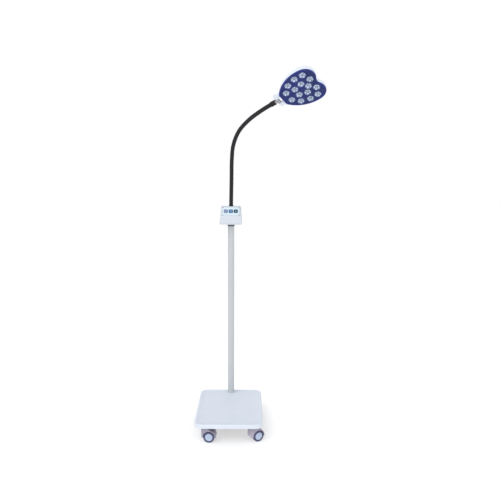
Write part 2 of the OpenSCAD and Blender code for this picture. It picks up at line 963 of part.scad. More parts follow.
base_cover();
ballast_plate();
base_screws();
pole_plug();
pole_bolt();
pole_tube();
pole_collar();
for (c = [0:3]) {
    name = str("castor_", CORNERS[c], "_");
    castor_stem(c);
    castor_housing(c);
    castor_axle(c);
    castor_tyre(c, -1);
    castor_hub(c, -1);
    castor_tyre(c, 1);
    castor_hub(c, 1);
}
box_body();
box_lid();
panel_overlay();
lid_screws();
power_button();
plus_button();
minus_button();
control_board();
cable_gland();
neck_socket();
for (i = [1:7])
    neck_link(i);
swivel_yoke();
hinge_pin();
head_shell();
led_face();
led_lenses();
led_board();
heat_sink();
head_screws();
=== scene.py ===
"""Looks of the mobile examination lamp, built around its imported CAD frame.

Metres, +Z up, -Y is the front.
"""
import json
import math

import bmesh
import bpy
from mathutils import Matrix, Vector


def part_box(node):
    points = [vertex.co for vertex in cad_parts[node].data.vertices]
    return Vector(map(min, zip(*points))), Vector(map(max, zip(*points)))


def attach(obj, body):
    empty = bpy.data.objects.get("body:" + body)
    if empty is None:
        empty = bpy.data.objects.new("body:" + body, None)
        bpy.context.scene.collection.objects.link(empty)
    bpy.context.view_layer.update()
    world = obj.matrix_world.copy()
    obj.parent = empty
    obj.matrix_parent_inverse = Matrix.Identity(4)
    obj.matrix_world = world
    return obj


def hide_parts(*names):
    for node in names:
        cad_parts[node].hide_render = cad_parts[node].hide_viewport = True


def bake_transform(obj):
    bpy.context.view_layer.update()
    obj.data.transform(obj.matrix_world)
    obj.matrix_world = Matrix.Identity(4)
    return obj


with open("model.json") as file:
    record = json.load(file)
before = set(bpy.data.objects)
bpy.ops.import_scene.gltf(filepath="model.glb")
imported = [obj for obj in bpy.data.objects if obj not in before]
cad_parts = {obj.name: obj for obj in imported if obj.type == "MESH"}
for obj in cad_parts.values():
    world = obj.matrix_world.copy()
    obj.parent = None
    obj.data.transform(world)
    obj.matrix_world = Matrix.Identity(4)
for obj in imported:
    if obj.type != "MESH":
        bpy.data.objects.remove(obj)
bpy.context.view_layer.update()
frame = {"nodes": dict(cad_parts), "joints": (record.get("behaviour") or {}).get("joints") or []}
MM = 0.001
JOINTS = {j["name"]: j for j in frame["joints"]}
CORNERS = ("front_left", "front_right", "rear_right", "rear_left")
scene = bpy.context.scene


def joint_at(name):
    return Vector(JOINTS[name]["pos_m"])


def joint_axis(name):
    return Vector(JOINTS[name]["axis"]).normalized()


def axes_at(origin, x, y, z):
    """The matrix that puts a piece's own X, Y and Z along the given directions."""
    m = Matrix((x, y, z)).transposed().to_4x4()
    m.translation = origin
    return m


def along(origin, z, x_hint=Vector((1, 0, 0))):
    """A frame at origin with +Z along z, and +X as near to x_hint as it can be."""
    z = z.normalized()
    x = (x_hint - z * x_hint.dot(z)).normalized()
    return axes_at(origin, x, z.cross(x), z)


# ---- camera, light and floor

CAMERA_AT = Vector((0.083, -2.334, 1.179))
CAMERA_PITCH = math.radians(8.46)
CAMERA_YAW = math.radians(0.17)
CAMERA_ROLL = math.radians(0.33)
CAMERA_LENS = 37.97
SENSOR_WIDTH = 36
CLIP_NEAR, CLIP_FAR = 0.05, 60
SURROUND = (1, 1, 1, 1)
OVERHEAD = (0.54, 0.55, 0.57, 1)
DIM_FROM, DIM_TO = 0.35, 0.85
KEY_POWER = 1.4
KEY_SPREAD = math.radians(50)


def make_camera():
    """The photo's camera, fitted to the base plate, the wheels, the pole and the box."""
    data = bpy.data.cameras.new("camera")
    data.lens = CAMERA_LENS
    data.sensor_width = SENSOR_WIDTH
    data.clip_start, data.clip_end = CLIP_NEAR, CLIP_FAR
    camera = bpy.data.objects.new("camera", data)
    forward = Vector((
        math.sin(CAMERA_YAW) * math.cos(CAMERA_PITCH),
        math.cos(CAMERA_YAW) * math.cos(CAMERA_PITCH),
        -math.sin(CAMERA_PITCH),
    ))
    level = Vector((math.cos(CAMERA_YAW), -math.sin(CAMERA_YAW), 0))
    upright = level.cross(forward)
    right = level * math.cos(CAMERA_ROLL) + upright * math.sin(CAMERA_ROLL)
    up = upright * math.cos(CAMERA_ROLL) - level * math.sin(CAMERA_ROLL)
    camera.matrix_world = axes_at(CAMERA_AT, right, up, -forward)
    scene.collection.objects.link(camera)
    scene.camera = camera


def aimed(data, at, target):
    """A light at one point that shines towards another."""
    light = bpy.data.objects.new(data.name, data)
    light.location = at
    light.rotation_euler = (Vector(target) - Vector(at)).to_track_quat("-Z", "Y").to_euler()
    scene.collection.objects.link(light)


def area_light(name, at, target, size, power):
    """A round soft light."""
    data = bpy.data.lights.new(name, "AREA")
    data.shape = "DISK"
    data.size = size
    data.energy = power
    aimed(data, at, target)


def make_light():
    """A white surround that is dimmer overhead, one broad soft key, and two gentle fills."""
    world = bpy.data.worlds.new("studio")
    scene.world = world
    world.use_nodes = True
    tree = world.node_tree
    direction = tree.nodes.new("ShaderNodeTexCoord").outputs["Generated"]
    split = tree.nodes.new("ShaderNodeSeparateXYZ")
    height = tree.nodes.new("ShaderNodeMapRange")
    mix = tree.nodes.new("ShaderNodeMix")
    mix.data_type = "RGBA"
    height.inputs["From Min"].default_value = DIM_FROM
    height.inputs["From Max"].default_value = DIM_TO
    mix.inputs["A"].default_value = SURROUND
    mix.inputs["B"].default_value = OVERHEAD
    tree.links.new(direction, split.inputs["Vector"])
    tree.links.new(split.outputs["Z"], height.inputs["Value"])
    tree.links.new(height.outputs["Result"], mix.inputs["Factor"])
    tree.links.new(mix.outputs["Result"], tree.nodes["Background"].inputs["Color"])
    key = bpy.data.lights.new("key_light", "SUN")
    key.energy = KEY_POWER
    key.angle = KEY_SPREAD
    aimed(key, (-2.2, -2.6, 4.4), (0, 0, 0.4))
    area_light("fill_light", (1.8, -1.9, 1.9), (0.1, 0.1, 1.2), 1.2, 9)
    area_light("low_light", (0.2, -1.6, 0.9), (0.25, 0.1, 1.45), 0.7, 2)
    scene.view_settings.view_transform = "Standard"


# ---- materials

def colour(code):
    """A linear colour from a web colour."""
    parts = [int(code[i:i + 2], 16) / 255 for i in (1, 3, 5)]
    return [c / 12.92 if c <= 0.04045 else ((c + 0.055) / 1.055) ** 2.4 for c in parts] + [1]


class Surface:
    """A principled material whose colour, roughness and relief come from noise in object space."""

    def __init__(self, name, base, rough=0.4, metallic=0.0, coat=0.0, specular=0.5):
        self.material = bpy.data.materials.new(name)
        self.material.use_nodes = True
        self.tree = self.material.node_tree
        self.shader = self.tree.nodes["Principled BSDF"]
        self.base = colour(base)
        self.rough = rough
        self.shader.inputs["Base Color"].default_value = self.base
        self.shader.inputs["Roughness"].default_value = rough
        self.shader.inputs["Metallic"].default_value = metallic
        self.shader.inputs["Coat Weight"].default_value = coat
        self.shader.inputs["Coat Roughness"].default_value = 0.12
        self.shader.inputs["Specular IOR Level"].default_value = specular
        self.place = self.node("ShaderNodeTexCoord").outputs["Object"]
        self.relief = None

    def node(self, kind, **values):
        made = self.tree.nodes.new(kind)
        for key, value in values.items():
            setattr(made, key, value)
        return made

    def link(self, a, b):
        self.tree.links.new(a, b)

    def noise(self, scale, detail=3.0, stretch=(1, 1, 1), spread=0.5):
        """Noise with a feature size of about 1/scale metres."""
        place = self.place
        if stretch != (1, 1, 1):
            mapping = self.node("ShaderNodeMapping")
            mapping.inputs["Scale"].default_value = stretch
            self.link(place, mapping.inputs["Vector"])
            place = mapping.outputs["Vector"]
        made = self.node("ShaderNodeTexNoise")
        made.inputs["Scale"].default_value = scale
        made.inputs["Detail"].default_value = detail
        made.inputs["Roughness"].default_value = spread
        self.link(place, made.inputs["Vector"])
        return made.outputs["Fac"]

    def ranged(self, value, low, high, start=0.3, end=0.7):
        made = self.node("ShaderNodeMapRange")
        limits = {"From Min": start, "From Max": end, "To Min": low, "To Max": high}
        for key, number in limits.items():
            made.inputs[key].default_value = number
        self.link(value, made.inputs["Value"])
        return made.outputs["Result"]

    def tint(self, factor, other, amount=1.0):
        """Mixes the base colour towards another where factor is high."""
        mix = self.node("ShaderNodeMix", data_type="RGBA")
        current = self.shader.inputs["Base Color"]
        if current.is_linked:
            self.link(current.links[0].from_socket, mix.inputs["A"])
        else:
            mix.inputs["A"].default_value = self.base
        mix.inputs["B"].default_value = colour(other)
        self.link(self.ranged(factor, 0, amount), mix.inputs["Factor"])
        self.link(mix.outputs["Result"], current)
        return self

    def uneven(self, scale, amount, stretch=(1, 1, 1)):
        """Roughness that varies by amount either way."""
        noise = self.noise(scale, stretch=stretch)
        value = self.ranged(noise, self.rough - amount, self.rough + amount)
        self.link(value, self.shader.inputs["Roughness"])
        return self

    def bump(self, height, strength, distance=0.0001):
        """Relief on top of any earlier relief; distance is its full height."""
        made = self.node("ShaderNodeBump")
        made.inputs["Strength"].default_value = strength
        made.inputs["Distance"].default_value = distance
        self.link(height, made.inputs["Height"])
        if self.relief is not None:
            self.link(self.relief, made.inputs["Normal"])
        self.relief = made.outputs["Normal"]
        self.link(self.relief, self.shader.inputs["Normal"])
        return self

    def rubbed_and_lit_edges(self, light, amount=0.35):
        """Lighter edges from the mesh's own curvature: partly rubbed wear, partly a painted
        highlight where edges catch the light.
        """
        pointiness = self.node("ShaderNodeNewGeometry").outputs["Pointiness"]
        return self.tint(self.ranged(pointiness, 0, 1, 0.52, 0.62), light, amount)


def moulded(name, base, shade, rough=0.38, grain=900, depth=0.12, coat=0.0):
    """Moulded plastic: fine texture, faint flow marks and handling marks."""
    s = Surface(name, base, rough, coat=coat)
    s.tint(s.noise(9, 4), shade, 0.55)
    s.uneven(35, 0.06)
    s.bump(s.noise(grain, 2), depth, 0.00012)
    return s


def make_materials():
    """Every look by its name."""
    made = {}
    s = moulded("plate_plastic", "#ccd3de", "#c2cad7", 0.42, 1300, 0.16)
    s.tint(s.noise(140, 6, spread=0.75), "#d8dee7", 0.35)
    # The lighter greenish edges paint the highlight where the cover's rounded rim catches the
    # light.
    s.rubbed_and_lit_edges("#d3dde2", 0.2)
    made["base_cover"] = s

    s = Surface("pole_paint", "#b6babd", 0.34, coat=0.15)
    s.tint(s.noise(14, 3, (1, 1, 0.15)), "#acb0b5", 0.6)
    s.uneven(60, 0.05, (1, 1, 0.2))
    s.bump(s.noise(700, 2), 0.18, 0.00015)
    made["pole"] = s

    # The collar's dark grey also paints the box's shade falling on the pole just under the box.
    made["collar"] = moulded("collar_and_painted_shade", "#4c5456", "#40484a", 0.5, 1500, 0.25)
    made["box"] = moulded("box_plastic", "#c2c8d0", "#b4bdc8", 0.42, 1600, 0.2)
    made["lid"] = moulded("lid_plastic", "#c6ced7", "#bac5d0", 0.32, 1600, 0.12)
    made["film"] = moulded("panel_film", "#c8d8e1", "#b9cfdc", 0.34, 2600, 0.1)
    made["power"] = moulded("power_key", "#1f5a8a", "#1a4b77", 0.42, 1800, 0.15)
    made["plus"] = moulded("plus_key", "#1b4456", "#163a4b", 0.42, 1800, 0.15)
    made["minus"] = moulded("minus_key", "#74829c", "#687793", 0.42, 1800, 0.15)
    made["legend"] = moulded("key_legend", "#9dbdd2", "#8fb1c8", 0.45, 2500, 0.1)
    made["gland"] = moulded("gland_nylon", "#26282b", "#303337", 0.55, 1200, 0.3)

    s = Surface("hose_black", "#151419", 0.5, specular=0.3)
    s.tint(s.noise(60, 5, spread=0.7), "#221f27", 0.6)
    s.uneven(250, 0.1)
    s.bump(s.noise(1800, 3), 0.3)
    # The lighter rib crests are partly wear and partly painted glints.
    s.rubbed_and_lit_edges("#3a3842", 0.4)
    made["neck"] = s

    s = Surface("hinge_alloy", "#a6a5ab", 0.36, metallic=0.55)
    s.tint(s.noise(90, 4), "#8e8d94", 0.6)
    s.uneven(300, 0.08)
    s.bump(s.noise(900, 3), 0.2)
    s.rubbed_and_lit_edges("#d7d8dc", 0.5)
    made["hinge"] = s

    s = moulded("shell_plastic", "#d5dae6", "#c8cfe0", 0.3, 350, 0.03, coat=0.2)
    s.tint(s.noise(4, 2), "#cfdedd", 0.4)
    made["shell"] = s

    s = Surface("face_navy", "#1c256e", 0.32, specular=0.25)
    s.tint(s.noise(16, 4), "#142646", 0.75)
    s.uneven(120, 0.05)
    s.bump(s.noise(1400, 2), 0.1)
    made["face"] = s

    s = Surface("rim_blue", "#2529a6", 0.3, coat=0.2)
    s.tint(s.noise(30, 4), "#1d1f7c", 0.6)
    s.bump(s.noise(1400, 2), 0.1)
    made["face_rim"] = s

    # The dish's dark blue-teal also paints the shade deep in each lens and round its edge.
    s = Surface("lens_dish", "#6f7ba6", 0.22, metallic=0.35, coat=0.4)
    s.tint(s.noise(70, 3), "#516a74", 0.8)
    s.bump(s.noise(900, 2), 0.08)
    made["dish"] = s

    s = Surface("lens_optic", "#cfd7ee", 0.12, metallic=0.2, coat=0.6)
    s.tint(s.noise(45, 2), "#a4bcc0", 0.85)
    s.tint(s.noise(160, 3), "#8f9ccb", 0.7)
    s.uneven(400, 0.05)
    s.bump(s.noise(900, 2), 0.08)
    made["lens"] = s

    s = Surface("lens_rim", "#5f6a9c", 0.2, coat=0.5)
    s.tint(s.noise(120, 3), "#45538a", 0.6)
    s.bump(s.noise(1500, 2), 0.08)
    made["rim"] = s

    s = Surface("led_chip", "#b9c6c4", 0.22, coat=0.5)
    s.tint(s.noise(500, 2), "#9fb0a8", 0.6)
    s.bump(s.noise(2500, 2), 0.1, 0.00005)
    made["chip"] = s

    s = moulded("castor_hood", "#a29cae", "#8f889e", 0.45, 1100, 0.25)
    s.tint(s.noise(70, 6, spread=0.75), "#8b8594", 0.35)
    s.rubbed_and_lit_edges("#c5c1d0", 0.5)
    made["hood"] = s

    s = Surface("tyre_rubber", "#353b5a", 0.62, specular=0.35)
    s.tint(s.noise(40, 5, spread=0.7), "#4a406e", 0.7)
    s.tint(s.noise(260, 6, spread=0.8), "#6c6f85", 0.35)
    s.uneven(200, 0.12)
    s.bump(s.noise(1500, 4), 0.35, 0.0002)
    made["tyre"] = s

    s = moulded("hub_plastic", "#aab6d0", "#9ea9cc", 0.38, 1400, 0.12)
    s.tint(s.noise(60, 5, spread=0.7), "#bfd2de", 0.5)
    made["hub"] = s

    s = Surface("zinc_steel", "#b2b4b6", 0.3, metallic=0.9)
    s.tint(s.noise(220, 4), "#94979b", 0.7)
    s.uneven(500, 0.1)
    s.bump(s.noise(1600, 3), 0.15)
    made["steel"] = s

    s = Surface("pin_cap", "#d3d5da", 0.4, metallic=0.15)
    s.tint(s.noise(300, 3), "#c3c6cc", 0.6)
    s.bump(s.noise(1600, 2), 0.1)
    made["cap"] = s

    s = Surface("ballast_paint", "#474a4e", 0.6)
    s.tint(s.noise(25, 6), "#33363a", 0.8)
    s.bump(s.noise(500, 4), 0.4, 0.0003)
    s.rubbed_and_lit_edges("#6a6d70", 0.5)
    made["ballast"] = s

    s = Surface("solder_mask", "#1f6b3a", 0.35, coat=0.3)
    s.tint(s.noise(300, 5), "#185a30", 0.7)
    s.bump(s.noise(900, 2), 0.2)
    made["board"] = s

    s = Surface("white_mask", "#e6e8e2", 0.4, coat=0.2)
    s.tint(s.noise(200, 4), "#d5d8d0", 0.6)
    s.bump(s.noise(1200, 2), 0.15)
    made["led_board"] = s

    s = Surface("sink_aluminium", "#b9bcbf", 0.35, metallic=0.9)
    s.tint(s.noise(60, 4, (1, 8, 1)), "#a1a5a8", 0.7)
    s.bump(s.noise(500, 3, (1, 12, 1)), 0.2)
    made["sink"] = s

    s = Surface("studio_floor", "#c4c4c4", 0.8, specular=0.1)
    s.tint(s.noise(1.2, 2), "#c0c1c2", 0.5)
    s.shader.inputs["Emission Color"].default_value = (1, 1, 1, 1)
    s.shader.inputs["Emission Strength"].default_value = 0.5
    made["floor"] = s
    return {name: s.material for name, s in made.items()}


# ---- mesh tools

NO_RADIUS = 1e-6
MERGE_DISTANCE = 1e-7
SLIVER_LENGTH = 1e-8
SHARP_CUT = 0.00002
FINE_CUT = 0.00001


def shaded(obj, material, angle=32):
    """Clean, outward-facing mesh with smooth shading that breaks at edges sharper than angle."""
    mesh = obj.data
    bm = bmesh.new()
    bm.from_mesh(mesh)
    bmesh.ops.remove_doubles(bm, verts=bm.verts, dist=MERGE_DISTANCE)
    bmesh.ops.dissolve_degenerate(bm, edges=bm.edges, dist=SLIVER_LENGTH)
    bmesh.ops.recalc_face_normals(bm, faces=bm.faces)
    limit = math.radians(angle)
    for face in bm.faces:
        face.smooth = True
    for edge in bm.edges:
        edge.smooth = len(edge.link_faces) == 2 and edge.calc_face_angle(0) < limit
    bm.to_mesh(mesh)
    bm.free()
    mesh.materials.clear()
    mesh.materials.append(material)
    return obj


def made_object(name, verts, faces, place=None):
    """An object from points and faces, turned outwards."""
    mesh = bpy.data.meshes.new(name)
    mesh.from_pydata([tuple(v) for v in verts], [], faces)
    bm = bmesh.new()
    bm.from_mesh(mesh)
    bmesh.ops.recalc_face_normals(bm, faces=bm.faces)
    bm.to_mesh(mesh)
    bm.free()
    if place is not None:
        mesh.transform(place)
    obj = bpy.data.objects.new(name, mesh)
    scene.collection.objects.link(obj)
    return obj


def settled(obj):
    """Applies the object's modifiers to its mesh."""
    bpy.context.view_layer.update()
    graph = bpy.context.evaluated_depsgraph_get()
    mesh = bpy.data.meshes.new_from_object(obj.evaluated_get(graph))
    obj.modifiers.clear()
    obj.data = mesh
    return obj


def rounded_edges(obj, width, segments, angle=20):
    """Rounds every edge that is sharper than angle."""
    mod = obj.modifiers.new("round", "BEVEL")
    mod.width = width
    mod.segments = segments
    mod.limit_method = "ANGLE"
    mod.angle_limit = math.radians(angle)
    mod.use_clamp_overlap = True
    return settled(obj)


def combined(obj, other, operation="DIFFERENCE"):
    """Boolean with another object, which is used up."""
    mod = obj.modifiers.new("cut", "BOOLEAN")
    mod.operation = operation
    mod.solver = "EXACT"
    mod.object = other
    settled(obj)
    bpy.data.objects.remove(other)
    return obj


def joined(name, *parts):
    """One object from several separate closed shells."""
    bm = bmesh.new()
    for part in parts:
        bm.from_mesh(part.data)
        bpy.data.objects.remove(part)
    mesh = bpy.data.meshes.new(name)
    bm.to_mesh(mesh)
    bm.free()
    obj = bpy.data.objects.new(name, mesh)
    scene.collection.objects.link(obj)
    return obj


def band(j, k, n):
    """The faces between ring j and ring k, where each ring has n points."""
    a, b = j * n, k * n
    return [(a + i, a + (i + 1) % n, b + (i + 1) % n, b + i) for i in range(n)]


def lofted(name, rings, place=None, loop=False):
    """A skin over closed rings of equal length, with flat ends.

    With loop there are no ends: the last ring is joined to the first.
    """
    n = len(rings[0])
    m = len(rings)
    verts = [p for ring in rings for p in ring]
    faces = []
    for j in range(m if loop else m - 1):
        faces += band(j, (j + 1) % m, n)
    if not loop:
        faces.append(tuple(reversed(range(n))))
        faces.append(tuple(range((m - 1) * n, m * n)))
    return made_object(name, verts, faces, place)


def turned(name, profile, place=None, steps=64):
    """A body of revolution about +Z from (radius, height) pairs.

    A radius of zero closes it, and a profile that ends where it starts makes a ring.
    """
    rings = []
    for r, z in profile:
        r = max(r, NO_RADIUS)
        rings.append([
            Vector((r * math.cos(t), r * math.sin(t), z))
            for t in (2 * math.pi * i / steps for i in range(steps))
        ])
    if profile[0] == profile[-1]:
        return lofted(name, rings[:-1], place, loop=True)
    return lofted(name, rings, place)


def arc_points(centre, r, start, end, steps):
    """Points on an arc, angles in degrees."""
    out = []
    for i in range(steps + 1):
        t = math.radians(start + (end - start) * i / steps)
        out.append((centre[0] + r * math.cos(t), centre[1] + r * math.sin(t)))
    return out


def rounded_rectangle(w, d, r, steps=10):
    """Outline of a rectangle with round corners, counter-clockwise."""
    out = []
    for sx, sy, start in ((1, 1, 0), (-1, 1, 90), (-1, -1, 180), (1, -1, 270)):
        out += arc_points((sx * (w / 2 - r), sy * (d / 2 - r)), r, start, start + 90, steps)
    return out


def circle_points(centre, r, steps):
    return arc_points(centre, r, 0, 360 * (1 - 1 / steps), steps - 1)


def plate(name, outlines, low, high, edge, place=None):
    """A flat plate with rounded edges from an outline and its holes, between two heights."""
    curve = bpy.data.curves.new(name, "CURVE")
    curve.dimensions = "2D"
    curve.fill_mode = "BOTH"
    curve.extrude = (high - low) / 2 - edge
    curve.bevel_depth = edge
    curve.bevel_resolution = 2
    curve.offset = -edge
    for outline in outlines:
        spline = curve.splines.new("POLY")
        spline.points.add(len(outline) - 1)
        for point, (x, y) in zip(spline.points, outline):
            point.co = (x, y, 0, 1)
        spline.use_cyclic_u = True
    holder = bpy.data.objects.new(name, curve)
    scene.collection.objects.link(holder)
    bpy.context.view_layer.update()
    graph = bpy.context.evaluated_depsgraph_get()
    mesh = bpy.data.meshes.new_from_object(holder.evaluated_get(graph))
    bpy.data.objects.remove(holder)
    mesh.name = name
    mesh.transform(Matrix.Translation((0, 0, (low + high) / 2)))
    if place is not None:
        mesh.transform(place)
    obj = bpy.data.objects.new(name, mesh)
    scene.collection.objects.link(obj)
    return obj


def copied(obj, name, place):
    """A copy of a piece that was built at the origin."""
    mesh = obj.data.copy()
    mesh.transform(place)
    made = bpy.data.objects.new(name, mesh)
    scene.collection.objects.link(made)
    return made


def placed(obj, body, slot, *nodes):
    """Puts a finished piece on its body and lets it stand for CAD nodes, which it hides; slot is
    not used.
    """
    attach(obj, body)
    if nodes:
        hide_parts(*nodes)
    return obj


def inset_ring(size, corner, smallest, steps, inset, z):
    """A level ring inside a rounded rectangle; its corners stay at least as round as smallest."""
    r = max(corner - inset, smallest)
    outline = rounded_rectangle(size[0] - 2 * inset, size[1] - 2 * inset, r, steps)
    return [Vector((x, y, z)) for x, y in outline]


def quarter(r_outer, z_top, edge, steps=4):
    """The rounded outer top corner of a turned profile."""
    return arc_points((r_outer - edge, z_top - edge), edge, 0, 90, steps)


# ---- base and pole

COVER_CORNER = 0.034
COVER_EDGE = 0.005
COVER_WALL = 0.002
RIM_INSET = 0.013
RIM_STEP = 0.0012
POLE_WALL = 0.0015
POLE_GAP = 0.0003
BORE_HALF = 0.03
BOSS_WALL = 0.005
BOSS_TOP = 0.0022
COLLAR_WALL = 0.0011
COLLAR_EDGE = 0.0008


def make_base(paint):
    """The cover with its sunk top and the boss around the pole, then the pole and its dark band: a
    dark ring whose colour also paints the box's shade on the pole.
    """
    low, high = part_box("base_cover")
    size = (high.x - low.x, high.y - low.y)
    pole_low, pole_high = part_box("pole_tube")
    pole = (pole_low + pole_high) / 2
    pole_r = (pole_high.x - pole_low.x) / 2

    def ring(inset, z):
        return inset_ring(size, COVER_CORNER, 0.004, 12, inset, z)

    floor_z = high.z - RIM_STEP
    rings = [ring(COVER_WALL, floor_z - COVER_WALL), ring(COVER_WALL, low.z + 0.0004)]
    rings += [ring(COVER_WALL - 0.0004, low.z), ring(0.0005, low.z), ring(0, low.z + 0.0006)]
    rings += [
        ring(COVER_EDGE - x, high.z - COVER_EDGE + z)
        for x, z in arc_points((0, 0), COVER_EDGE, 0, 90, 7)
    ]
    rings += [ring(RIM_INSET, high.z), ring(RIM_INSET + 0.0006, high.z - RIM_STEP * 0.25)]
    rings += [ring(RIM_INSET + 0.0014, high.z - RIM_STEP * 0.8), ring(RIM_INSET + 0.0022, floor_z)]
    rings += [ring(RIM_INSET + 0.02, floor_z)]
    cover = lofted("base_cover", rings)
    at_top = Matrix.Translation((pole.x, pole.y, high.z))
    bore_r = pole_r + POLE_GAP
    bore = [(0, -BORE_HALF), (bore_r, -BORE_HALF), (bore_r, BORE_HALF), (0, BORE_HALF)]
    combined(cover, turned("bore", bore, at_top))
    boss_r = pole_r + BOSS_WALL
    boss_top = BOSS_TOP - RIM_STEP
    profile = [(bore_r, -0.001), (boss_r, -0.001)] + quarter(boss_r, boss_top, 0.0012)
    profile += [(bore_r + 0.0006, boss_top), (bore_r, boss_top - 0.0006), (bore_r, -0.001)]
    cover = joined("base_cover_shell", cover, turned("boss", profile, at_top))
    placed(shaded(cover, paint["base_cover"], 28), "base", "base_cover", "base_cover")

    on_axis = Matrix.Translation((pole.x, pole.y, 0))
    inner_r = pole_r - POLE_WALL
    tube = [(inner_r, pole_low.z), (pole_r, pole_low.z), (pole_r, pole_high.z - 0.0005)]
    tube += [(pole_r - 0.0005, pole_high.z), (inner_r, pole_high.z), (inner_r, pole_low.z)]
    piece = turned("pole", tube, on_axis, steps=96)
    placed(shaded(piece, paint["pole"]), "base", "pole", "pole_tube")

    low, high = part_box("pole_collar")
    inner_r = pole_r + 0.0001
    outer_r = pole_r + COLLAR_WALL
    profile = [(inner_r, low.z), (outer_r - COLLAR_EDGE, low.z), (outer_r, low.z + COLLAR_EDGE)]
    profile += quarter(outer_r, high.z, COLLAR_EDGE) + [(inner_r, high.z), (inner_r, low.z)]
    collar = turned("pole_band", profile, on_axis, steps=96)
    placed(shaded(collar, paint["collar"]), "base", "pole_collar", "pole_collar")


# ---- castors

HOOD_HALF = 0.022
HOOD_R = 0.030
HOOD_REACH = 0.014
HOOD_TOP = 0.070
HOOD_SKIRT = 0.022
HOOD_EDGE = 0.0032
HOOD_CORNERS = (0.006, 0.004)
POCKET_R = 0.0265
POCKET_DEPTH = 0.03
WEB_HALF = 0.0062
AXLE_TRAIL = 0.020
AXLE_Z = 0.025
WHEEL_START = 0.0065
WHEEL_WIDTH = 0.017
TYRE_GAP = 0.0002
HUB_CAP_R = 0.0052


def castor_hood():
    """A hood around the origin of its swivel axis, wheels trailing towards +X."""
    outline = [(AXLE_TRAIL + HOOD_R, HOOD_SKIRT)]
    outline += arc_points((AXLE_TRAIL, AXLE_Z), HOOD_R, -5, 75, 22)
    near, far = HOOD_CORNERS
    outline += arc_points((HOOD_REACH - near, HOOD_TOP - near), near, 60, 90, 4)
    outline += arc_points((-HOOD_REACH + far, HOOD_TOP - far), far, 90, 180, 6)
    outline += [(-HOOD_REACH, HOOD_SKIRT)]
    upright = Matrix.Rotation(math.radians(90), 4, "X")
    hood = plate("hood", [outline], -HOOD_HALF, HOOD_HALF, HOOD_EDGE, upright)
    pocket = [(0, 0), (POCKET_R, 0), (POCKET_R, POCKET_DEPTH), (0, POCKET_DEPTH)]
    for side in (-1, 1):
        at = along(Vector((AXLE_TRAIL, side * WEB_HALF, AXLE_Z)), Vector((0, side, 0)))
        combined(hood, turned("pocket", pocket, at))
    return hood


def castor_tyre(outer, inner, width):
    """A tyre standing on the origin's plane, with its axle along +Z and two thin mould lines."""
    edge = 0.0028
    bulge = 0.0004
    side = [(inner, 0.0006), (inner + 0.0016, 0), (outer - edge - 0.0008, 0)]
    side += [(outer - bulge - edge + x, edge + z) for x, z in arc_points((0, 0), edge, -90, -8, 6)]
    tread = [(outer - bulge * t ** 2, width * (0.5 + t * 0.5)) for t in (-0.55, -0.3)]
    groove = [(outer - 0.0001, width * 0.42), (outer - 0.0005, width * 0.44)]
    groove += [(outer - 0.0001, width * 0.46)]
    half = side + tread + groove
    mirrored = [(r, width - z) for r, z in reversed(half)]
    return turned("tyre", half + mirrored + [half[0]], steps=96)


def castor_hub(r, width, cap):
    """A wheel centre with a dished rim, a ring groove and a domed cap."""
    face = width - 0.0012
    profile = [(0, 0), (r - 0.003, 0), (r, 0.001), (r, face - 0.0012)]
    profile += [(r - 0.0005, face), (r - 0.0016, face)]
    profile += [(r - 0.0022, face - 0.0006), (r - 0.0034, face - 0.0006)]
    profile += [(r - 0.0040, face + 0.0002), (r - 0.0052, face + 0.0007)]
    profile += [(cap + 0.0008, face + 0.0009), (cap + 0.0003, face + 0.0002)]
    profile += [(cap, face + 0.0002), (cap - 0.0003, face + 0.0009)]
    profile += [(cap * 0.6, face + 0.0011), (0, face + 0.0012)]
    return turned("hub", profile, steps=96)


def make_castors(paint):
    """The four castors are copies of one hood, one tyre and one wheel centre."""
    low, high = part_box("castor_front_left_tyre_a")
    outer = (high.z - low.z) / 2
    low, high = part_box("castor_front_left_hub_a")
    hub_r = (high.z - low.z) / 2
    hood = shaded(castor_hood(), paint["hood"], 30)
    tyre = shaded(castor_tyre(outer, hub_r + TYRE_GAP, WHEEL_WIDTH), paint["tyre"])
    hub = shaded(castor_hub(hub_r, WHEEL_WIDTH, HUB_CAP_R), paint["hub"], 24)
    up = Vector((0, 0, 1))
    for corner in CORNERS:
        name = f"castor_{corner}"
        axle_at = joint_at(name + "_roll_a")
        axle = joint_axis(name + "_roll_a")
        stem = joint_at(name + "_swivel")
        trail = Vector((axle_at.x - stem.x, axle_at.y - stem.y, 0)).normalized()
        piece = copied(hood, name + "_hood", axes_at(stem, trail, up.cross(trail), up))
        placed(piece, name, "castor_housing", name + "_housing")
        for letter, side in (("a", -1), ("b", 1)):
            out = axle * side
            spot = along(axle_at + out * WHEEL_START, out, up)
            body = f"{name}_wheel_{letter}"
            piece = copied(tyre, f"{name}_wheel_tyre_{letter}", spot)
            placed(piece, body, "castor_tyre", f"{name}_tyre_{letter}")
            piece = copied(hub, f"{name}_wheel_cap_{letter}", spot)
            placed(piece, body, "castor_hub", f"{name}_hub_{letter}")
    for used in (hood, tyre, hub):
        bpy.data.objects.remove(used)


# ---- control box

